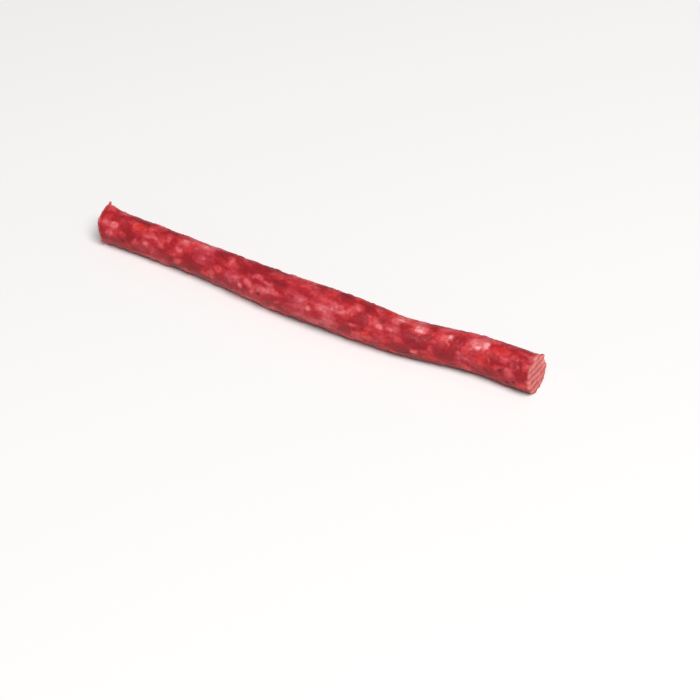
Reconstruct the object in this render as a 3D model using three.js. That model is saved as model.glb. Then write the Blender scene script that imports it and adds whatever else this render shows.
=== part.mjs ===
// A stick of cured, coarsely ground meat, pressed through a round die with no casing, dried lying
// on a flat tray and sawn to length. It is one piece: the whole stick is a single bound solid.
// Millimetres, +Z up. The stick lies along X on its tray flat, and it bows towards -Y.
// The origin is at the middle of its footprint, on the surface that it rests on.
import * as THREE from "three";

// Driving dimensions, in millimetres.
const LENGTH = 125;
const END = LENGTH / 2;
const TRAY_FLAT_DEPTH = 0.35; // how far the tray flattened the underside
const RIM_BREAK = 0.3; // worn edge of each sawn end
const OVAL = 0.025; // share by which the section is wider than it is high

// Thickness along the stick, as [place along X, diameter]. The coarse paste came out unevenly.
const THICKNESS = [
  [-END, 9.3],
  [-50, 8.9],
  [-28, 8.8],
  [-5, 9.9],
  [8, 10.3],
  [20, 9.9],
  [30, 9.2],
  [END, 9.5],
];

// The sideways bow that it dried with, as [place along X, centre line's place along Y].
const BOW = [
  [-END, 0],
  [-50, 0.1],
  [-28, -0.7],
  [-6, -2.5],
  [26, -2.7],
  [37, -1.4],
  [47, 0],
  [END, 0],
];

// The saw went through at a slant. Each end leans by `lean` degrees, and it is longest on the side
// that is `long` degrees round the section, where 0 is +Y and 90 is up.
const SAWN_ENDS = [
  { side: 1, lean: 9.5, long: 277 },
  { side: -1, lean: 10, long: 0 },
];
const LEAN_FADE = 14; // how far back from an end the skin follows its slant

// At the -X end the saw broke off the lower front corner along a slope that starts `from`
// millimetres off the centre line, and it lifted a flake of skin on the upper back.
const BROKEN_CORNER = { angle: 222, from: 1.2, slope: 0.3, run: 9 };
const FLAKE = { angle: 46, spread: 20, run: 2.4, lift: 1 };

// Low relief of the coarse grind: lumps that stand proud of the skin, and dips between them.
const LUMPS = { count: 170, radius: [1.8, 3.4], height: [-0.16, 0.2], stretch: 1.35, seed: 11 };

// How finely the surface is divided.
const SIDES = 36;
const BODY_ROWS = 68;
const FACE_RINGS = [0, 0.45, 0.8];

const radians = THREE.MathUtils.degToRad;

// A smooth line through [place, value] pairs, read at any place.
function smoothLine(pairs) {
  const curve = new THREE.SplineCurve(pairs.map(([place, value]) => new THREE.Vector2(place, value)));
  const points = curve.getPoints(400);
  return (place) => {
    const next = Math.max(1, points.findIndex((point) => point.x >= place));
    const [a, b] = [points[next - 1], points[next]];
    return THREE.MathUtils.mapLinear(place, a.x, b.x, a.y, b.y);
  };
}

const thicknessAt = smoothLine(THICKNESS);
const bowAt = smoothLine(BOW);

// The smaller turn between two directions, in radians.
function turnBetween(a, b) {
  const turn = Math.abs(a - b) % (2 * Math.PI);
  return Math.min(turn, 2 * Math.PI - turn);
}

// 1 where the distance is 0, falling smoothly to 0 at the reach.
function fade(distance, reach) {
  return 1 - THREE.MathUtils.smoothstep(distance, 0, reach);
}

// How far the point (y, z) of the section lies towards a direction given in degrees.
function towards(direction, y, z) {
  return y * Math.cos(radians(direction)) + z * Math.sin(radians(direction));
}

// The lumps lie at random over the skin, the same ones each time.
function scatterLumps({ count, radius, height, seed }) {
  let state = seed;
  const random = (low, high) => {
    state = (state * 16807) % 2147483647;
    return low + ((high - low) * state) / 2147483647;
  };
  return Array.from({ length: count }, () => ({
    along: random(-END + 3, END - 3),
    angle: random(0, 2 * Math.PI),
    radius: random(...radius),
    height: random(...height),
  }));
}

const lumps = scatterLumps(LUMPS);

// How far the lumps raise the skin at a place along the stick and an angle round it.
function reliefAt(along, angle) {
  let relief = 0;
  for (const lump of lumps) {
    const lengthwise = (along - lump.along) / LUMPS.stretch;
    if (Math.abs(lengthwise) > lump.radius) continue;
    const crosswise = (turnBetween(angle, lump.angle) * thicknessAt(along)) / 2;
    relief += lump.height * fade(Math.hypot(lengthwise, crosswise), lump.radius);
  }
  return relief;
}

// How far the lifted flake raises the skin.
function flakeAt(along, angle) {
  const across = fade(turnBetween(angle, radians(FLAKE.angle)), radians(FLAKE.spread));
  return FLAKE.lift * across * fade(along + END, FLAKE.run);
}

// How far the slanted cuts and the broken corner move a point of the section along X.
function endShiftAt(along, y, z) {
  let shift = 0;
  for (const { side, lean, long } of SAWN_ENDS) {
    const slant = Math.tan(radians(lean)) * towards(long, y, z);
    shift += side * slant * fade(END - side * along, LEAN_FADE);
  }
  const pastBreak = Math.max(towards(BROKEN_CORNER.angle, y, z) - BROKEN_CORNER.from, 0);
  return shift + BROKEN_CORNER.slope * pastBreak * fade(along + END, BROKEN_CORNER.run);
}

// A point of the stick, from its place along it, its share of the radius, and its angle round it.
function stickPoint(along, share, angle) {
  const nominal = thicknessAt(along) / 2;
  const skin = share === 1 ? reliefAt(along, angle) + flakeAt(along, angle) : 0;
  const radius = nominal * share + skin;
  const y = Math.cos(angle) * radius * (1 + OVAL / 2);
  const z = Math.sin(angle) * radius * (1 - OVAL / 2);

  // The tray pressed flat whatever would hang below its surface.
  const centreHeight = nominal * (1 - OVAL / 2) - TRAY_FLAT_DEPTH;
  const height = Math.max(z + centreHeight, 0);
  return new THREE.Vector3(along + endShiftAt(along, y, z), y + bowAt(along), height);
}

// Half of the stick's long section: [share of the radius, place along] from one end to the other.
function profile() {
  const rimShare = 1 - (2 * RIM_BREAK) / thicknessAt(END);
  const face = [...FACE_RINGS, rimShare];
  const points = face.map((share) => new THREE.Vector2(share, -END));
  for (let row = 0; row <= BODY_ROWS; row++) {
    const along = THREE.MathUtils.lerp(-END + RIM_BREAK, END - RIM_BREAK, row / BODY_ROWS);
    points.push(new THREE.Vector2(1, along));
  }
  points.push(...face.reverse().map((share) => new THREE.Vector2(share, END)));
  return points;
}

// The profile is turned into a plain round bar, and then each of its points goes to its real place.
function stickGeometry() {
  const points = profile();
  const geometry = new THREE.LatheGeometry(points, SIDES);
  const position = geometry.getAttribute("position");
  for (let i = 0; i < position.count; i++) {
    const { x: share, y: along } = points[i % points.length];
    const side = Math.floor(i / points.length) % SIDES;
    const point = stickPoint(along, share, (side / SIDES) * 2 * Math.PI);
    position.setXYZ(i, point.x, point.y, point.z);
  }
  geometry.computeVertexNormals();
  return geometry;
}

const pressedMeat = new THREE.MeshStandardMaterial({
  color: 0xae363c,
  roughness: 0.55,
  metalness: 0,
});

const meatStick = new THREE.Mesh(stickGeometry(), pressedMeat);
meatStick.name = "meat_stick";

// Set the stick down with the middle of its footprint at the origin.
meatStick.geometry.computeBoundingBox();
const middle = meatStick.geometry.boundingBox.getCenter(new THREE.Vector3());
meatStick.position.set(-middle.x, -middle.y, 0);

const curedMeatStick = new THREE.Group();
curedMeatStick.add(meatStick);

export default curedMeatStick;
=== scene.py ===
import math

import bmesh
import bpy
import numpy as np
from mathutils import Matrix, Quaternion, Vector, noise
from mathutils.bvhtree import BVHTree


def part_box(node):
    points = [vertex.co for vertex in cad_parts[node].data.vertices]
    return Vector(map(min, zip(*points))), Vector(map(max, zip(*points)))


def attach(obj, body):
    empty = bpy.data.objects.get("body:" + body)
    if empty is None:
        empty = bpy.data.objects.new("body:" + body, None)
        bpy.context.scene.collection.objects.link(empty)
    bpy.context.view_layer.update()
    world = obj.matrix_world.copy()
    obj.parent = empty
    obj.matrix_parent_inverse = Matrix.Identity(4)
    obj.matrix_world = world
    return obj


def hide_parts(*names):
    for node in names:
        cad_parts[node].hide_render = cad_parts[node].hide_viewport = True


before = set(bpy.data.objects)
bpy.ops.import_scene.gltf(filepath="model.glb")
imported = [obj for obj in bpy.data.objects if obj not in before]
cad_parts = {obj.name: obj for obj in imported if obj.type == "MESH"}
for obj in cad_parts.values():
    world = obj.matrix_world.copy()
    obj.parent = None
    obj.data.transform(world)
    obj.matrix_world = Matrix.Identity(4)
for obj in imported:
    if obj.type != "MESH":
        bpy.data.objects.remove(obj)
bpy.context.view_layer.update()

# ---------------------------------------------------------------------------------------------
# The stick. It is one solid of coarsely ground cured meat, pressed through a round die with no
# casing, so its skin is the pressed grains themselves. It dried lying on a tray, which left it
# bowed and flat underneath, and a saw cut it to length.
# ---------------------------------------------------------------------------------------------

MM = 0.001
ROWS = 640  # along the stick, about 0.2 mm apart
COLUMNS = 144  # round it, about 0.2 mm apart
FACE_CELLS = COLUMNS // 4  # each sawn face is a square net whose border meets the columns
TRAY_FLAT_DEPTH = 0.35  # how far the tray flattened the underside, mm
SLANT_FADE = 14.0  # how far back from an end the rows follow its slanted cut, mm
SLANT_REACH = 0.8  # how far a slanted face reaches past its own middle, mm

stick_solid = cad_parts["meat_stick"]
solid_tree = BVHTree.FromObject(stick_solid, bpy.context.evaluated_depsgraph_get())
low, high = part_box("meat_stick")
half_length = (high.x - low.x) / 2 / MM - SLANT_REACH  # to the middle of each face, mm


def distance_to_solid(start, direction):
    """From a point in mm to the stick's solid along a direction, in mm, or None."""
    place, _, _, distance = solid_tree.ray_cast(Vector(start) * MM, Vector(direction))
    return None if place is None else distance / MM


def smoothed(values, spread, axis, wraps):
    """A Gaussian blur of `spread` samples along one axis, which goes round if it wraps."""
    reach = int(math.ceil(3 * spread))
    offsets = np.arange(-reach, reach + 1)
    weights = np.exp(-0.5 * (offsets / spread) ** 2)
    padding = [(0, 0)] * values.ndim
    padding[axis] = (reach, reach)
    padded = np.pad(values, padding, mode="wrap" if wraps else "edge")
    size = values.shape[axis]
    taken = [np.take(padded, np.arange(size) + i, axis=axis) for i in range(2 * reach + 1)]
    return sum(w * t for w, t in zip(weights / weights.sum(), taken))


def fade(distance, reach):
    """1 where the distance is 0, falling smoothly to 0 at the reach."""
    t = np.clip(np.asarray(distance, float) / reach, 0, 1)
    return 1 - t * t * (3 - 2 * t)


# The centre line and the skin's distance from it, measured on the solid away from its two ends.
STATIONS = 160
STATION_ANGLES = 72
END_MARGIN = 4.0  # mm
WAIST = 4.0  # about the height at which the stick is widest, mm
BESIDE = 40.0  # a place clear of the stick's sides, mm
stations = np.linspace(-half_length + END_MARGIN, half_length - END_MARGIN, STATIONS)
station_angles = np.arange(STATION_ANGLES) / STATION_ANGLES * math.tau
centre_y, centre_z = [], []
for x in stations:
    back_y = BESIDE - distance_to_solid((x, BESIDE, WAIST), (0, -1, 0))
    front_y = distance_to_solid((x, -BESIDE, WAIST), (0, 1, 0)) - BESIDE
    middle_y = (back_y + front_y) / 2
    top_z = BESIDE - distance_to_solid((x, middle_y, BESIDE), (0, 0, -1))
    centre_y.append(middle_y)
    centre_z.append((top_z - TRAY_FLAT_DEPTH) / 2)
centre_y = smoothed(np.array(centre_y), spread=3.0, axis=0, wraps=False)
centre_z = smoothed(np.array(centre_z), spread=4.0, axis=0, wraps=False)
skin = np.array(
    [
        [distance_to_solid((x, y, z), (0, math.cos(a), math.sin(a))) for a in station_angles]
        for x, y, z in zip(stations, centre_y, centre_z)
    ]
)
skin = smoothed(skin, spread=2.0, axis=0, wraps=False)
skin = smoothed(skin, spread=1.2, axis=1, wraps=True)


def centre_at(x):
    """The centre line's place across the stick and its height, in mm."""
    return np.interp(x, stations, centre_y), np.interp(x, stations, centre_z)


def skin_at(x, angle):
    """The smooth skin's distance from the centre line, in mm."""
    row = np.interp(x, stations, np.arange(STATIONS))
    column = np.mod(angle, math.tau) / math.tau * STATION_ANGLES
    r0, whole = np.floor(row).astype(int), np.floor(column).astype(int)
    fr, fc = row - r0, column - whole
    r1 = np.minimum(r0 + 1, STATIONS - 1)
    c0, c1 = whole % STATION_ANGLES, (whole + 1) % STATION_ANGLES
    nearer = skin[r0, c0] * (1 - fc) + skin[r0, c1] * fc
    further = skin[r1, c0] * (1 - fc) + skin[r1, c1] * fc
    return nearer * (1 - fr) + further * fr


# The sawn faces, measured at these shares of the radius. The rim's own edge is worn, so the
# last stretch of a face is carried on to it.
FACE_SHARES = np.array([0.0, 0.15, 0.3, 0.45, 0.6, 0.75, 0.9])
SHARE_STEP = 0.15
LAST_STEP = 0.1
PAST_END = 90.0  # a place clear of the stick's ends, mm


def sawn_face(side):
    """Where a sawn face lies along X, for each share of the radius and each column, in mm."""
    y, z = centre_at(side * half_length)
    face = []
    for column in range(COLUMNS):
        angle = column / COLUMNS * math.tau
        radius = float(skin_at(side * half_length, angle))
        at = []
        for share in FACE_SHARES:
            across = (y + share * radius * math.cos(angle), z + share * radius * math.sin(angle))
            distance = distance_to_solid((side * PAST_END, *across), (-side, 0, 0))
            at.append(side * (PAST_END - distance))
        face.append(at + [at[-1] + (at[-1] - at[-2]) * LAST_STEP / SHARE_STEP])
    return np.array(face).T


faces_x = {side: sawn_face(side) for side in (-1, 1)}


def face_at(side, share, angle):
    """A sawn face's place along X at a share of the radius, in mm."""
    shares = np.append(FACE_SHARES, 1.0)
    row = np.interp(share, shares, np.arange(len(shares)))
    column = np.mod(angle, math.tau) / math.tau * COLUMNS
    r0, whole = np.floor(row).astype(int), np.floor(column).astype(int)
    fr, fc = row - r0, column - whole
    r1, c0, c1 = np.minimum(r0 + 1, len(shares) - 1), whole % COLUMNS, (whole + 1) % COLUMNS
    table = faces_x[side]
    inner = table[r0, c0] * (1 - fc) + table[r0, c1] * fc
    outer = table[r1, c0] * (1 - fc) + table[r1, c1] * fc
    return inner * (1 - fr) + outer * fr


# Every point of the net, first as its place along the stick, its angle and its share of the
# radius. The skin's rows come first, and then the inner points of the two faces.
column_angles = np.arange(COLUMNS) / COLUMNS * math.tau
plain_x = np.linspace(-half_length, half_length, ROWS + 1)
rim_shift = {
    side: face_at(side, np.ones(COLUMNS), column_angles) - side * half_length for side in (-1, 1)
}
skin_x = (
    plain_x[:, None]
    + rim_shift[-1][None, :] * fade(plain_x + half_length, SLANT_FADE)[:, None]
    + rim_shift[1][None, :] * fade(half_length - plain_x, SLANT_FADE)[:, None]
)
place_x = [skin_x.ravel()]
angle = [np.tile(column_angles, ROWS + 1)]
share = [np.ones((ROWS + 1) * COLUMNS)]
station = [np.repeat(plain_x, COLUMNS)]
faces = []
for row in range(ROWS):
    for column in range(COLUMNS):
        a, b = row * COLUMNS + column, row * COLUMNS + (column + 1) % COLUMNS
        faces.append((a, a + COLUMNS, b + COLUMNS, b))

# A square net laid on a disc so that its border falls on the rim's points, evenly spaced.
net = {}
half_cells = FACE_CELLS // 2
for i in range(-half_cells, half_cells + 1):
    for j in range(-half_cells, half_cells + 1):
        reach = max(abs(i), abs(j))
        if reach == 0:
            turn = 0.0
        elif abs(i) >= abs(j):
            turn = math.pi / 4 * j / i + (math.pi if i < 0 else 0)
        else:
            turn = math.pi / 2 - math.pi / 4 * i / j + (math.pi if j < 0 else 0)
        net[i, j] = (reach / half_cells, turn % math.tau)
for side in (-1, 1):
    rim_start = 0 if side < 0 else ROWS * COLUMNS
    index = {}
    inner_share, inner_angle = [], []
    count = sum(len(part) for part in place_x)
    for key, (reach, turn) in net.items():
        if reach == 1:
            index[key] = rim_start + round(turn / math.tau * COLUMNS) % COLUMNS
        else:
            index[key] = count + len(inner_share)
            inner_share.append(reach)
            inner_angle.append(turn)
    inner_share, inner_angle = np.array(inner_share), np.array(inner_angle)
    place_x.append(face_at(side, inner_share, inner_angle))
    angle.append(inner_angle)
    share.append(inner_share)
    station.append(np.full(len(inner_share), side * half_length))
    for i in range(-half_cells, half_cells):
        for j in range(-half_cells, half_cells):
            corners = [index[i, j], index[i + 1, j], index[i + 1, j + 1], index[i, j + 1]]
            faces.append(tuple(corners if side > 0 else reversed(corners)))
place_x, angle, share, station = (np.concatenate(part) for part in (place_x, angle, share, station))
on_skin = share == 1
rim_distance = np.where(on_skin, np.minimum(half_length - station, half_length + station), 0)
radius = skin_at(station, angle) * share
# The meat's own frame, as it left the die: straight, in mm, with the axis at 0.
meat = np.stack([place_x, radius * np.cos(angle), radius * np.sin(angle)], axis=1)


def mottle(points, wavelength, seed):
    """Smooth noise from -1 to 1 that changes over a wavelength in mm."""
    shifted = points / wavelength + np.array([seed * 17.3, seed * 5.1, seed * 9.7])
    return np.array([noise.noise(Vector(p)) for p in shifted])


def layered(points, layers):
    """Mottles added together, each given as its strength, its wavelength in mm and its seed."""
    return sum(strength * mottle(points, wavelength, seed) for strength, wavelength, seed in layers)


# The fine grains. The meat went through a coarse plate, so it is a close mosaic of grains of
# dark lean, brighter red and pale fat, and most of the smallest have melted into a paste. A
# point's tone runs from 0, dark, to 1, pale, and its warmth from 0, violet, to 1, orange.
GRAIN_STRETCH = 1.35  # grains are drawn out along the stick by the pressing
FINE_GRAINS = 2600
FINE_GRAIN_SWELL = 1.0  # how much further the largest fine grains reach than the smallest, mm
FINE_GRAIN_RISE = 0.10  # how far the highest of them stand proud, mm
DISTINCT_GRAINS = 0.40  # the share of fine grains that stand out; the rest are paste
GRAIN_BLUR = 0.34  # how far one grain's colour runs into the next one's, mm
PASTE_TONE = 0.43
PASTE_TONE_SPREAD = 0.04
DISTINCT_TONE_SPREAD = 0.17
PASTE_WARMTH = 0.36
WARMTH_SPREAD = 0.18
SEEDS_PAST_END = 3  # mm
SEEDS_RADIUS = 6.0  # past the skin, mm
SEEDS_IN_REACH = 4  # how far along the stick a seed can be from its points, mm
SEEDS_BLENDED = 4
SLICES = 200  # the points are taken in slices along the stick, which saves memory
rng = np.random.default_rng(5)

stretched = meat / np.array([GRAIN_STRETCH, 1, 1])
warped = stretched + 0.45 * np.stack([mottle(stretched, 1.3, k) for k in (1, 2, 3)], axis=1)
warped += 0.16 * np.stack([mottle(stretched, 0.5, k) for k in (21, 22, 23)], axis=1)

# Each point belongs to the seed that reaches it most easily.
furthest = half_length + SEEDS_PAST_END
seed_x = rng.uniform(-furthest, furthest, FINE_GRAINS) / GRAIN_STRETCH
seed_r = SEEDS_RADIUS * np.sqrt(rng.uniform(0, 1, FINE_GRAINS))
seed_a = rng.uniform(0, math.tau, FINE_GRAINS)
seeds = np.stack([seed_x, seed_r * np.cos(seed_a), seed_r * np.sin(seed_a)], axis=1)
swell = FINE_GRAIN_SWELL * rng.uniform(0, 1, FINE_GRAINS) ** 2
distinct = rng.uniform(0, 1, FINE_GRAINS) < DISTINCT_GRAINS
seed_tone = rng.normal(PASTE_TONE, np.where(distinct, DISTINCT_TONE_SPREAD, PASTE_TONE_SPREAD))
seed_tone = np.clip(seed_tone, 0.12, 0.9)
seed_warmth = rng.normal(PASTE_WARMTH, WARMTH_SPREAD, FINE_GRAINS)
seed_rise = rng.uniform(-1, 1, FINE_GRAINS)

# `inwards` is how far a point lies inside the edge of its grain, in mm, and `contrast` is how
# much its grain's tone differs from the next one's.
tone, warmth, rise, inwards, contrast = (np.zeros(len(meat)) for _ in range(5))
for part in np.array_split(np.argsort(warped[:, 0], kind="stable"), SLICES):
    slice_x = warped[part, 0]
    some = np.flatnonzero(np.abs(seeds[:, 0] - slice_x.mean()) < SEEDS_IN_REACH + np.ptp(slice_x))
    reach = np.linalg.norm(warped[part, None, :] - seeds[None, some, :], axis=2) - swell[some]
    best = np.argpartition(reach, SEEDS_BLENDED - 1, axis=1)[:, :SEEDS_BLENDED]
    ranked = np.take_along_axis(reach, best, axis=1)
    weight = np.exp(-(ranked - ranked.min(axis=1, keepdims=True)) / GRAIN_BLUR)
    weight /= weight.sum(axis=1, keepdims=True)
    tone[part] = (weight * seed_tone[some[best]]).sum(axis=1)
    warmth[part] = (weight * seed_warmth[some[best]]).sum(axis=1)
    rise[part] = FINE_GRAIN_RISE * (weight * seed_rise[some[best]]).sum(axis=1)
    rank = np.argsort(ranked, axis=1)
    ranked = np.take_along_axis(ranked, rank, axis=1)
    two = np.take_along_axis(some[best], rank, axis=1)[:, :2]
    inwards[part] = (ranked[:, 1] - ranked[:, 0]) / 2
    contrast[part] = np.abs(seed_tone[two[:, 0]] - seed_tone[two[:, 1]])

# The paste was mixed unevenly, so whole stretches of it are darker or paler, and pressing
# combed it into streaks that run along the stick.
STREAK_STRETCH = 3.5
mixed = mottle(warped, 3.0, 15)
tone += (
    0.26 * mottle(meat, 8.0, 14)
    + 0.24 * mixed
    + 0.14 * np.maximum(mixed, 0)
    + 0.08 * mottle(warped, 1.2, 18)
)
tone += 0.14 * mottle(meat / np.array([STREAK_STRETCH, 1, 1]), 1.1, 19)
warmth += 0.22 * mottle(meat, 5.0, 16)

# The large grains that show best, as (place along, turn round, length, width, slant, kind), in mm
# and degrees. A turn of 0 is +Y and 90 is up.
# The palest grains of the fat kind are pale fat and also painted glints: painted highlights.
GRAINS = [
    (-60, 126, 2.0, 2.0, 0, "pink"),
    (-57, 130, 2.8, 2.2, 0, "pale"),
    (-57.5, 103, 2.2, 2.4, 0, "dark_lean_and_shade"),
    (-58, 163, 2.6, 2.2, 0, "pink"),
    (-54, 153, 2.4, 2.0, 0, "salmon"),
    (-53.5, 121, 3.4, 2.4, 0, "dark_lean_and_shade"),
    (-50, 158, 1.4, 2.4, 15, "pink"),
    (-52, 190, 3.0, 2.6, 0, "bright"),
    (-50, 104, 4.4, 3.3, 0, "bright"),
    (-46.5, 89, 2.6, 2.4, 0, "salmon"),
    (-44.5, 123, 2.6, 1.4, 0, "pink"),
    (-46.5, 150, 2.1, 1.3, 0, "pale"),
    (-47, 176, 4.0, 2.6, 0, "dark_lean_and_shade"),
    (-42, 141, 2.4, 1.8, 0, "pink"),
    (-40.5, 109, 1.6, 2.6, 10, "salmon"),
    (-37, 131, 2.8, 1.3, 20, "pink"),
    (-36, 97, 3.0, 2.7, 0, "pink"),
    (-33, 73, 2.8, 3.2, 0, "pink"),
    (-30.5, 82, 3.2, 2.8, 0, "salmon"),
    (-30, 137, 3.6, 3.1, -15, "clear"),
    (-29, 128, 1.4, 1.0, -30, "pale"),
    (-33.5, 142, 2.2, 2.0, 0, "dark_lean_and_shade"),
    (-32, 160, 4.6, 1.6, 8, "dark_lean_and_shade"),
    (-24, 142, 2.6, 2.2, 30, "salmon"),
    (-25.5, 168, 2.0, 2.8, -10, "pale"),
    (-28, 178, 3.4, 2.0, 0, "bright"),
    (-36.5, 174, 2.4, 2.4, 20, "pale"),
    (-38, 156, 2.8, 1.2, -25, "pink"),
    (-34, 199, 2.6, 2.6, 0, "salmon"),
    (-21.5, 94, 2.8, 2.3, 0, "pink"),
    (-14.5, 147, 3.4, 2.1, 20, "pale"),
    (-16.5, 166, 1.9, 1.7, 0, "fat_and_glint"),
    (-11.5, 119, 2.8, 1.5, 20, "pale"),
    (-9, 128, 3.2, 1.2, 10, "pale"),
    (-10, 154, 3.0, 2.4, 0, "pink"),
    (-14, 95, 3.2, 2.6, 0, "dark_lean_and_shade"),
    (-7.5, 90, 4.4, 3.2, 15, "pink"),
    (-5, 129, 3.0, 2.2, 0, "dark_lean_and_shade"),
    (-6, 146, 2.2, 1.6, 0, "pink"),
    (-5, 172, 2.6, 1.1, -25, "pale"),
    (-10.5, 195, 3.2, 2.4, 0, "bright"),
    (1, 133, 3.8, 3.2, 0, "clear"),
    (1, 98, 4.2, 1.8, 0, "bright"),
    (1.5, 112, 4.6, 1.8, 10, "dark_lean_and_shade"),
    (4, 155, 1.8, 1.4, 10, "fat_and_glint"),
    (8, 79, 3.8, 4.0, 0, "salmon"),
    (7.5, 115, 4.4, 2.6, 0, "pink"),
    (7, 160, 3.8, 1.7, -10, "dark_lean_and_shade"),
    (10, 172, 3.6, 1.9, -10, "pink"),
    (0, 192, 2.2, 1.7, 0, "pink"),
    (6, 191, 3.2, 2.2, 0, "pink"),
    (12.5, 134, 2.6, 1.1, -18, "pale"),
    (13, 90, 3.0, 2.6, 0, "dark_lean_and_shade"),
    (16.5, 101, 2.8, 2.2, 0, "pink"),
    (16.5, 156, 2.6, 1.0, -15, "fat_and_glint"),
    (18, 186, 4.2, 3.8, 0, "salmon"),
    (20.5, 176, 2.8, 3.0, 0, "bright"),
    (19.5, 114, 2.2, 1.4, 0, "pink"),
    (23, 133, 2.4, 1.9, 0, "pale"),
    (25.5, 129, 2.4, 1.3, 10, "pink"),
    (28.5, 153, 2.8, 1.6, 0, "pink"),
    (33, 101, 3.8, 3.3, 0, "pale"),
    (33, 107, 1.6, 1.2, 0, "fat_and_glint"),
    (33, 179, 1.8, 1.5, 0, "fat_and_glint"),
    (38, 83, 3.0, 2.6, 0, "pink"),
    (38.5, 114, 4.2, 2.8, -15, "salmon"),
    (40.5, 106, 1.5, 1.4, 0, "fat_and_glint"),
    (37, 190, 4.4, 2.6, 0, "bright"),
    (43.5, 153, 2.4, 1.4, 20, "clear"),
    # Painted shade: a dark grain where shade fell.
    (43.5, 112, 1.6, 2.8, 0, "dark_lean_and_shade"),
    (47.5, 104, 4.8, 4.2, 0, "pale"),
    (47.5, 118, 1.8, 1.3, 0, "fat_and_glint"),
    (49.5, 100, 1.5, 2.4, 0, "fat_and_glint"),
    # Painted shade: a dark grain where shade fell.
    (45.5, 175, 1.8, 1.6, 0, "dark_lean_and_shade"),
    (46, 196, 3.2, 2.6, 0, "salmon"),
    (51, 74, 2.6, 2.2, 0, "pale"),
    (53, 103, 4.6, 4.0, 0, "bright"),
    (50, 150, 3.8, 2.8, 0, "bright"),
    (53.5, 156, 2.6, 1.7, 0, "pale"),
    (54.5, 128, 3.0, 2.2, 0, "pink"),
    (56.5, 156, 2.6, 1.8, 0, "pink"),
    (57, 112, 2.6, 2.4, 0, "pink"),
    (57.5, 138, 3.0, 2.4, 0, "clear"),
    (57.5, 165, 2.6, 1.2, 0, "pink"),
    (60, 125, 2.2, 2.4, 0, "pink"),
    (60, 194, 3.4, 2.6, 0, "salmon"),
]
# Each kind's tone and warmth, how far it stands proud in mm, and its share of the random grains.
KINDS = {
    "pink": (0.62, 0.35, 0.11, 0.30),
    "pale": (0.72, 0.40, 0.16, 0.14),
    # Pale fat, painted paler still where it stands for a glint: painted highlight.
    "fat_and_glint": (0.86, 0.35, 0.17, 0.07),
    "salmon": (0.64, 0.65, 0.14, 0.13),
    "bright": (0.54, 1.00, 0.10, 0.11),
    "clear": (0.54, -0.2, 0.08, 0.07),
    # Dark lean, which in some listed grains also stands for painted shade.
    "dark_lean_and_shade": (0.30, 0.35, -0.09, 0.18),
}
# The same mix goes on at random all round the back and underneath.
TRIES = 2000
PLACED_SIDE = (85, 200)  # between these turns the placed grains are the only large ones
RANDOM_GRAIN_GAP = 2.6  # between the middles of two grains, mm
RANDOM_GRAIN_STRETCH = 1.3
MEAN_RADIUS = 4.6  # mm
kind_shares = [share_of_grains for *_, share_of_grains in KINDS.values()]
taken = [(x, math.radians(turn)) for x, turn, *_ in GRAINS]
more = []
for _ in range(TRIES):
    x, turn = rng.uniform(-half_length + 1, half_length - 1), rng.uniform(-135, 225)
    length = rng.uniform(1.6, 4.4)
    width = length * rng.uniform(0.5, 0.85)
    slant, kind = rng.uniform(-30, 30), rng.choice(list(KINDS), p=kind_shares)
    if PLACED_SIDE[0] < turn < PLACED_SIDE[1]:
        continue
    turns = [abs((math.radians(turn) - t + math.pi) % math.tau - math.pi) for _, t in taken]
    gaps = [
        math.hypot((x - u) / RANDOM_GRAIN_STRETCH, MEAN_RADIUS * between)
        for (u, _), between in zip(taken, turns)
    ]
    if all(gap > RANDOM_GRAIN_GAP for gap in gaps):
        taken.append((x, math.radians(turn)))
        more.append((x, turn, length, width, slant, kind))

# Each large grain is a rounded block with a wandering outline, sunk into the skin.
BLOCKINESS = 2.4  # 2 is an ellipsoid, and more is boxier
GRAIN_DEPTH = 1.3  # how far a grain reaches into the stick, mm
OUTLINE_SHARE = 0.15  # how far it wanders, as a share of half the width
GRAIN_COVER = 0.9  # how much of the paste's colour a grain hides
PASTE_THROUGH = 0.6  # how much of the paste's unevenness shows in a grain
GIRTH = 0.5  # grains are laid out on a circle this far outside the skin, mm
OUTLINE_ALONG = ((0.30, 1.6, 24), (0.14, 0.6, 25))
OUTLINE_ROUND = ((0.30, 1.6, 26), (0.14, 0.6, 27))
skin_depth = skin_at(station, angle) - radius
outline = mottle(meat, 1.1, 4)
shift_along = layered(meat, OUTLINE_ALONG)
shift_round = layered(meat, OUTLINE_ROUND)
for x, turn, length, width, slant, kind in GRAINS + more:
    near = np.flatnonzero(np.abs(meat[:, 0] - x) < length + 1)
    turned = np.mod(angle[near] - math.radians(turn) + math.pi, math.tau) - math.pi
    lengthwise = meat[near, 0] - x + shift_along[near]
    crosswise = turned * (radius[near] + GIRTH) + shift_round[near]
    c, s = math.cos(math.radians(slant)), math.sin(math.radians(slant))
    u = np.abs((lengthwise * c + crosswise * s) / (length / 2))
    v = np.abs((crosswise * c - lengthwise * s) / (width / 2))
    w = np.abs(skin_depth[near] / GRAIN_DEPTH)
    reach = (u**BLOCKINESS + v**BLOCKINESS + w**BLOCKINESS) ** (1 / BLOCKINESS)
    inside = (1 - reach - OUTLINE_SHARE * outline[near]) * width / 2
    kind_tone, kind_warmth, kind_rise, _ = KINDS[kind]
    edge_blur = 0.5 + 0.35 * width
    cover = GRAIN_COVER * fade(0.5 - inside / edge_blur, 1)
    grain_tone = kind_tone + PASTE_THROUGH * (tone[near] - PASTE_TONE)
    tone[near] += (grain_tone - tone[near]) * cover
    warmth[near] += (kind_warmth - warmth[near]) * cover
    rise[near] += (kind_rise - rise[near]) * cover
    inwards[near] = np.where(inside > 0, inside, np.minimum(inwards[near], -inside))

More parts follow.
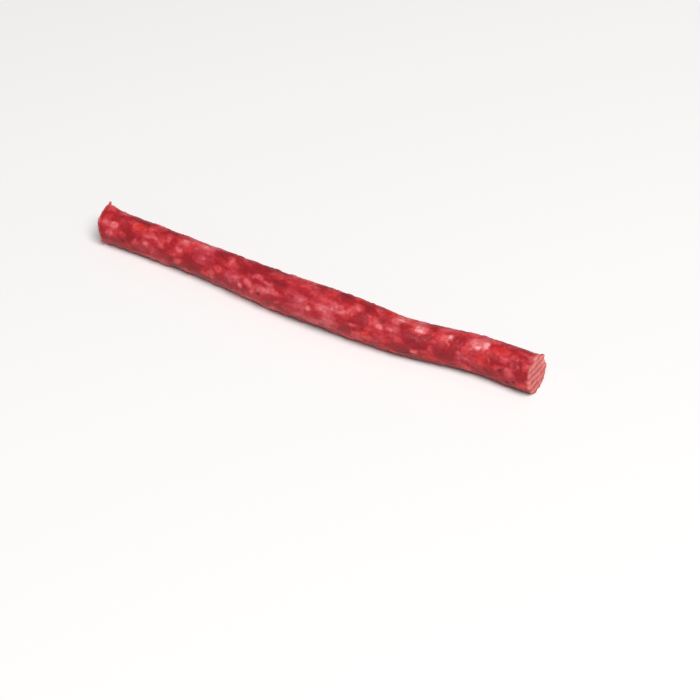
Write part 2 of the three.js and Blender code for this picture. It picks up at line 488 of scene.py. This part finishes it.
# The side next to the tray is painted a little darker towards the bottom: painted shade on the
# underside.
PAINTED_SHADE_HEIGHT = 4.5  # mm
PAINTED_SHADE_DARKENING = 0.10
height = centre_at(station)[1] + radius * np.sin(angle)
tone -= PAINTED_SHADE_DARKENING * fade(height, PAINTED_SHADE_HEIGHT) * on_skin

# A grain is palest in its middle, where it is thickest, and domes up out of its crevice. The
# crevice shows most between two grains of unlike tone.
CREVICE = 0.30  # how far the dark line between two grains reaches into each, mm
CREVICE_DEPTH = 0.06  # mm
DOME_REACH = 0.6  # how far in from its edge a grain stops rising, mm
DOME_HEIGHT = 0.08  # mm
DOME_PALENESS = 0.05
crevice_strength = 0.25 + 2.5 * contrast + 0.9 * mottle(meat, 2.2, 17)
crevice = fade(inwards, CREVICE) * np.clip(crevice_strength, 0, 1)
dome = np.clip(inwards / DOME_REACH, 0, 1)
dome = dome * (2 - dome)
tone += DOME_PALENESS * (dome - 0.5) + 0.10 * mottle(warped, 0.6, 6)
relief = rise * (0.4 + 0.6 * dome) + DOME_HEIGHT * (dome - 0.6) - CREVICE_DEPTH * crevice
relief += layered(meat, ((0.08, 3.5, 7), (0.06, 0.9, 8)))

# The darkest lean meat dried to no more than a deep red.
DARKEST = 0.40  # the tone below which the meat hardly gets darker
DARK_SQUEEZE = 0.42  # how much of the darkness past that tone is kept
squeezed_tone = DARKEST - DARK_SQUEEZE * (DARKEST - tone)
tone = np.clip(np.where(tone < DARKEST, squeezed_tone, tone), 0, 1)
warmth = np.clip(warmth, 0, 1)

# A few pits, where a bubble or a lost grain left a hole in the skin. Each hole is also painted
# dark: painted shade in the pit.
PITS = 22
PIT_DEPTH = 0.18  # mm
PIT_STRETCH = 1.5
PIT_SEARCH = 1.5  # mm
pit = np.zeros(len(meat))
for _ in range(PITS):
    x, turn = rng.uniform(-half_length, half_length), rng.uniform(0, math.tau)
    size = rng.uniform(0.15, 0.32)
    near = np.flatnonzero(np.abs(meat[:, 0] - x) < PIT_SEARCH)
    turned = np.mod(angle[near] - turn + math.pi, math.tau) - math.pi
    away = np.hypot((meat[near, 0] - x) / PIT_STRETCH, turned * radius[near])
    away += 0.1 * outline[near]
    pit[near] = np.maximum(pit[near], fade(away, 2 * size) * on_skin[near])
relief -= PIT_DEPTH * pit

# The sawn ends. A coarse saw cut the dried stick almost level, which left ridges across each
# face, a torn, paler surface, and a ragged rim. Each tooth also smeared the cut grains into
# streaks along its way.
RIDGE_SPACING = 1.6  # mm
RIDGE_TURN = math.radians(-8)  # the saw's way across the face, from level
RIDGE_WANDER = ((0.30, 3.0, 9), (0.12, 0.8, 10))
RIDGE_HEIGHT = 0.13  # mm
TORN_HEIGHT = 0.10  # mm
across_ridges = meat[:, 2] * math.cos(RIDGE_TURN) - meat[:, 1] * math.sin(RIDGE_TURN)
phase = across_ridges / RIDGE_SPACING + layered(meat, RIDGE_WANDER)
streak = mottle(meat * np.array([1, 0.4, 1.2]), 0.7, 20)
# The ridge value paints the crests paler and the troughs darker, which is painted highlight and
# painted shade on the saw's ridges, mixed with the face's own streaks and grains.
ridge = 0.48 + 0.33 * np.cos(math.tau * phase) + 0.45 * streak + 0.8 * (tone - PASTE_TONE)
ridge = np.clip(ridge, 0, 1)
torn = mottle(meat, 0.55, 11)
saw_relief = (RIDGE_HEIGHT + 0.08 * torn) * (ridge - 0.6) + TORN_HEIGHT * torn
saw_relief += DOME_HEIGHT * (dome - 0.5)

# The saw's marks run over the rim a little way onto the skin, whose edge is worn. The sawn
# colour runs with them: a pale band round each rim, partly torn meat and partly a painted
# highlight on the edge. The -X end tore more than the other.
TORN_REACH = 0.9  # mm
RIDGE_REACH = 0.6  # mm
WORN_REACH = 0.3  # mm
WORN_DEPTH = 0.16  # mm
RIM_TEARS = ((0.18, 1.6, 12), (0.12, 0.6, 28))
# On the skin, the sawn share is the pale rim band: torn meat with a painted highlight on the edge.
ragged = fade(rim_distance, TORN_REACH) * on_skin
sawn = np.where(on_skin, ragged, 1.0)
end_side = np.sign(station)
tearing = np.where(end_side < 0, 1.8, 1.0)
along_shift = end_side * np.where(on_skin, fade(rim_distance, RIDGE_REACH), 1.0) * saw_relief
along_shift += end_side * ragged * tearing * layered(meat, RIM_TEARS)
skin_relief = relief * np.where(on_skin, 1.0, 0.0) * (1 - 0.5 * fade(rim_distance, 0.4))
skin_relief -= WORN_DEPTH * fade(rim_distance, WORN_REACH) * on_skin
skin_relief += 0.10 * ragged * mottle(meat, 0.6, 13)

# At the -X end the saw bent the skin of the upper back outwards: the middle and the half width
# of the bent arc in degrees, and how far it runs and lifts in mm.
FLARE = {"turn": 52, "spread": 42, "run": 6.0, "lift": 0.8}
flare = fade(np.abs(np.degrees(angle) - FLARE["turn"]), FLARE["spread"])
flare *= fade(half_length + station, FLARE["run"]) * on_skin
final_radius = radius + skin_relief + FLARE["lift"] * flare
line_y, line_z = centre_at(station)
vertices = np.stack(
    [
        place_x + along_shift,
        line_y + final_radius * np.cos(angle),
        np.maximum(line_z + final_radius * np.sin(angle), 0.0),
    ],
    axis=1,
)

mesh = bpy.data.meshes.new("dried_meat_stick")
mesh.from_pydata((vertices * MM).tolist(), [], faces)
surface = {
    "tone": tone,
    "warmth": warmth,
    "crevice": crevice,
    "pit": pit,
    "sawn": sawn,
    "ridge": ridge,
}
for name, values in surface.items():
    layer = mesh.attributes.new(name, "FLOAT", "POINT")
    layer.data.foreach_set("value", values.astype(np.float32))

# Shreds of meat that the saw tore loose at the rims, as (end, turn round, columns wide, length
# in mm, curl in degrees back over the stick, taper). Each one is drawn out of the skin itself,
# step by step, so that it stays one surface with the stick.
SHREDS = [
    (-1, 48, 6, 0.9, 20, 0.84),
    (-1, 205, 6, 0.4, 10, 0.78),
    (-1, 345, 7, 0.5, 25, 0.80),
    (1, 35, 6, 0.4, 20, 0.78),
    (1, 350, 7, 0.7, 45, 0.82),
]
SHRED_ROWS = 4  # of the skin, next to the rim
SHRED_STEP = 0.18  # mm
SHRED_LEAN = 0.45  # how far a shred leans out past the end, for each mm out from the skin
SHRED_WOBBLE = 0.05  # mm
WOBBLE_PACE = 0.6  # how far the noise moves on with each step
AXIS_GAP = 10.7  # how far apart the noise is read for X, Y and Z
ROOT_TAPER = 0.9
shape = bmesh.new()
shape.from_mesh(mesh)
shape.faces.ensure_lookup_table()
patches = []
for end, turn, wide, *_ in SHREDS:
    first_row = 0 if end < 0 else ROWS - SHRED_ROWS
    first_column = round(turn / 360 * COLUMNS) - wide // 2
    patches.append(
        [
            shape.faces[row * COLUMNS + column % COLUMNS]
            for row in range(first_row, first_row + SHRED_ROWS)
            for column in range(first_column, first_column + wide)
        ]
    )
for (end, turn, _, length, curl, taper), patch in zip(SHREDS, patches):
    steps = math.ceil(length / SHRED_STEP)
    outwards = Vector((0, math.cos(math.radians(turn)), math.sin(math.radians(turn))))
    way = (outwards + Vector((end * SHRED_LEAN, 0, 0))).normalized()
    hinge = Vector((end, 0, 0)).cross(outwards)
    bend = Quaternion(hinge, math.radians(curl) / steps)
    for step in range(steps):
        grown = bmesh.ops.extrude_face_region(shape, geom=patch)["geom"]
        bmesh.ops.delete(shape, geom=patch, context="FACES")
        patch = [item for item in grown if isinstance(item, bmesh.types.BMFace)]
        corners = [item for item in grown if isinstance(item, bmesh.types.BMVert)]
        middle = sum((corner.co for corner in corners), Vector()) / len(corners)
        places = [Vector((turn, step * WOBBLE_PACE, end * AXIS_GAP * axis)) for axis in (1, 2, 3)]
        wobble = Vector([noise.noise(at) for at in places]) * SHRED_WOBBLE * MM
        for corner in corners:
            arm = bend @ (corner.co - middle) * (taper if step > 0 else ROOT_TAPER)
            corner.co = middle + arm + way * SHRED_STEP * MM + wobble
            corner.co.z = max(corner.co.z, 0.0)
        way = bend @ way
bmesh.ops.recalc_face_normals(shape, faces=shape.faces)
shape.to_mesh(mesh)
shape.free()
mesh.shade_smooth()
dried_meat_stick = bpy.data.objects.new("dried_meat_stick", mesh)
bpy.context.collection.objects.link(dried_meat_stick)


def linear(hex_colour):
    """An sRGB hex colour as linear red, green, blue and alpha."""
    parts = [int(hex_colour[i : i + 2], 16) / 255 for i in (1, 3, 5)]
    return [p / 12.92 if p <= 0.04045 else ((p + 0.055) / 1.055) ** 2.4 for p in parts] + [1.0]


def add_node(tree, kind, inputs, **settings):
    """Adds a node with its settings. Each input is a value, or the output that feeds it."""
    node = tree.nodes.new(kind)
    for name, value in settings.items():
        setattr(node, name, value)
    for name, value in inputs.items():
        if isinstance(value, bpy.types.NodeSocket):
            tree.links.new(value, node.inputs[name])
        else:
            node.inputs[name].default_value = value
    return node


# Cured meat, pressed and dried: half-clear red grains under a thin greasy film. The film gives a
# soft, broken sheen, and light that sinks into the grains blurs their edges.
SPECK_SIZE = 0.5 * MM
SPECK_HEIGHT = 0.12 * MM
SPECK_CONTRAST = 0.20
GRAIN_TONES = (0, 0.22, 0.43, 0.6, 0.8, 1)
COOL_GRAINS = ("#4a0a12", "#76141f", "#9d202d", "#b53844", "#c85e68", "#e3989d")
WARM_GRAINS = ("#4e0a0a", "#7d1615", "#a81f20", "#c5302f", "#d05550", "#e6928b")
CREVICE_COLOUR = "#5c0f16"
CREVICE_STRENGTH = 0.22
# Painted shade in the pits.
PIT_SHADE_COLOUR = "#55101a"
SAWN_SHADE_AND_HIGHLIGHT_COLOURS = ("#a84446", "#df8982")  # painted shade between the saw's ridges, and painted highlight on them, over the face's own torn paleness
SAWN_STRENGTH = 0.8
meat_material = bpy.data.materials.new("pressed_cured_meat")
meat_material.use_nodes = True
tree = meat_material.node_tree
tree.nodes.clear()
attribute = {
    name: add_node(tree, "ShaderNodeAttribute", {}, attribute_name=name).outputs["Fac"]
    for name in surface
}
place = add_node(tree, "ShaderNodeTexCoord", {}).outputs["Object"]

# Fibres and specks inside the grains, 0.2 to 0.6 mm.
fibre_map = add_node(tree, "ShaderNodeMapping", {"Vector": place, "Scale": (0.45, 1, 1)})
specks = add_node(
    tree,
    "ShaderNodeTexNoise",
    {"Vector": fibre_map.outputs[0], "Scale": 1 / SPECK_SIZE, "Detail": 4, "Roughness": 0.6},
)
speck_shift = add_node(
    tree,
    "ShaderNodeMath",
    {0: specks.outputs["Fac"], 1: SPECK_CONTRAST, 2: -SPECK_CONTRAST / 2},
    operation="MULTIPLY_ADD",
)
mottled_tone = add_node(
    tree, "ShaderNodeMath", {0: attribute["tone"], 1: speck_shift.outputs[0]}, operation="ADD"
)
ramps = []
for colours in (COOL_GRAINS, WARM_GRAINS):
    ramp = add_node(tree, "ShaderNodeValToRGB", {"Fac": mottled_tone.outputs[0]})
    elements = ramp.color_ramp.elements
    while len(elements) < len(GRAIN_TONES):
        elements.new(0.5)
    for element, position, colour in zip(elements, GRAIN_TONES, colours):
        element.position = position
        element.color = linear(colour)
    ramps.append(ramp.outputs["Color"])
grain_colour = add_node(
    tree, "ShaderNodeMix", {0: attribute["warmth"], 6: ramps[0], 7: ramps[1]}, data_type="RGBA"
)
crevice_share = add_node(
    tree, "ShaderNodeMath", {0: attribute["crevice"], 1: CREVICE_STRENGTH}, operation="MULTIPLY"
)
bound_colour = add_node(
    tree,
    "ShaderNodeMix",
    {0: crevice_share.outputs[0], 6: grain_colour.outputs[2], 7: linear(CREVICE_COLOUR)},
    data_type="RGBA",
)
# The pits are painted dark: painted shade in the holes.
pit_shaded_colour = add_node(
    tree,
    "ShaderNodeMix",
    {0: attribute["pit"], 6: bound_colour.outputs[2], 7: linear(PIT_SHADE_COLOUR)},
    data_type="RGBA",
)
# Sawn faces: painted shade in the troughs and painted highlight on the ridges, over the torn meat's
# pale colour.
sawn_shaded_and_lit_colour = add_node(
    tree,
    "ShaderNodeMix",
    {0: attribute["ridge"], 6: linear(SAWN_SHADE_AND_HIGHLIGHT_COLOURS[0]), 7: linear(SAWN_SHADE_AND_HIGHLIGHT_COLOURS[1])},
    data_type="RGBA",
)
sawn_share = add_node(
    tree, "ShaderNodeMath", {0: attribute["sawn"], 1: SAWN_STRENGTH}, operation="MULTIPLY"
)
colour = add_node(
    tree,
    "ShaderNodeMix",
    {0: sawn_share.outputs[0], 6: pit_shaded_colour.outputs[2], 7: sawn_shaded_and_lit_colour.outputs[2]},
    data_type="RGBA",
)

# The specks break up the film's sheen, and the sawn faces are rougher than the skin.
FILM_ROUGHNESS = 0.34
SPECK_ROUGHNESS = 0.25
SAWN_ROUGHNESS = 0.35
film_roughness = add_node(
    tree,
    "ShaderNodeMath",
    {0: specks.outputs["Fac"], 1: SPECK_ROUGHNESS, 2: FILM_ROUGHNESS},
    operation="MULTIPLY_ADD",
)
roughness = add_node(
    tree,
    "ShaderNodeMath",
    {0: attribute["sawn"], 1: SAWN_ROUGHNESS, 2: film_roughness.outputs[0]},
    operation="MULTIPLY_ADD",
)
bump = add_node(
    tree,
    "ShaderNodeBump",
    {"Strength": 0.35, "Distance": SPECK_HEIGHT, "Height": specks.outputs["Fac"]},
)
shader = add_node(
    tree,
    "ShaderNodeBsdfPrincipled",
    {
        "Base Color": colour.outputs[2],
        "Roughness": roughness.outputs[0],
        "IOR": 1.45,
        "Specular IOR Level": 0.28,
        "Subsurface Weight": 0.3,
        "Subsurface Radius": (1.0, 0.25, 0.2),
        "Subsurface Scale": 0.9 * MM,
        "Coat Weight": 0.04,
        "Coat Roughness": 0.3,
        "Normal": bump.outputs[0],
    },
)
add_node(tree, "ShaderNodeOutputMaterial", {"Surface": shader.outputs[0]})
mesh.materials.append(meat_material)

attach(dried_meat_stick, "root")
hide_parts("meat_stick")

# ---------------------------------------------------------------------------------------------
# The table: a plain sheet of thick white card that the stick lies on. It is uncoated, so it
# takes a soft shadow and mirrors nothing.
# ---------------------------------------------------------------------------------------------

CARD_REACH = 3.0  # to each side of the stick, m
CARD_DROP = 0.02 * MM  # just below the stick's flat, so that the two don't share a surface
card_mesh = bpy.data.meshes.new("card")
card_corners = [
    (x * CARD_REACH, y * CARD_REACH, -CARD_DROP) for x, y in ((-1, -1), (1, -1), (1, 1), (-1, 1))
]
card_mesh.from_pydata(card_corners, [], [(0, 1, 2, 3)])
card = bpy.data.objects.new("card", card_mesh)
bpy.context.collection.objects.link(card)
card_material = bpy.data.materials.new("matt_white_card")
card_material.use_nodes = True
card_shader = card_material.node_tree.nodes["Principled BSDF"]
card_shader.inputs["Base Color"].default_value = linear("#e5e4e3")
card_shader.inputs["Roughness"].default_value = 0.9
card_mesh.materials.append(card_material)

# ---------------------------------------------------------------------------------------------
# Light: one large softbox above and a little in front, in a white room.
# ---------------------------------------------------------------------------------------------

bpy.context.scene.view_settings.view_transform = "Standard"
room = bpy.data.worlds.new("white_room")
bpy.context.scene.world = room
room.use_nodes = True
room.node_tree.nodes["Background"].inputs["Color"].default_value = (1, 1, 1, 1)
room.node_tree.nodes["Background"].inputs["Strength"].default_value = 0.20

softbox = bpy.data.lights.new("softbox", "AREA")
softbox.shape = "RECTANGLE"
softbox.size = 1.5
softbox.size_y = 1.1
softbox.energy = 56
softbox_object = bpy.data.objects.new("softbox", softbox)
bpy.context.collection.objects.link(softbox_object)
softbox_object.location = (0.85, -0.62, 1.75)
towards_stick = Vector((0, 0, 0)) - softbox_object.location
softbox_object.rotation_euler = towards_stick.to_track_quat("-Z", "Y").to_euler()

# ---------------------------------------------------------------------------------------------
# Camera: looking down on the stick from in front and to its right.
# ---------------------------------------------------------------------------------------------

AZIMUTH = math.radians(28.3)
ELEVATION = math.radians(42)
DISTANCE = 0.3751  # m
AIM = Vector((0.0191, -0.01185, 0.00425))
camera = bpy.data.objects.new("camera", bpy.data.cameras.new("camera"))
bpy.context.collection.objects.link(camera)
camera.data.lens = 79.6
camera.data.sensor_width = 36
towards_camera = Vector(
    (
        math.sin(AZIMUTH) * math.cos(ELEVATION),
        -math.cos(AZIMUTH) * math.cos(ELEVATION),
        math.sin(ELEVATION),
    )
)
camera.location = AIM + towards_camera * DISTANCE
camera.rotation_euler = towards_camera.to_track_quat("Z", "Y").to_euler()
bpy.context.scene.camera = camera
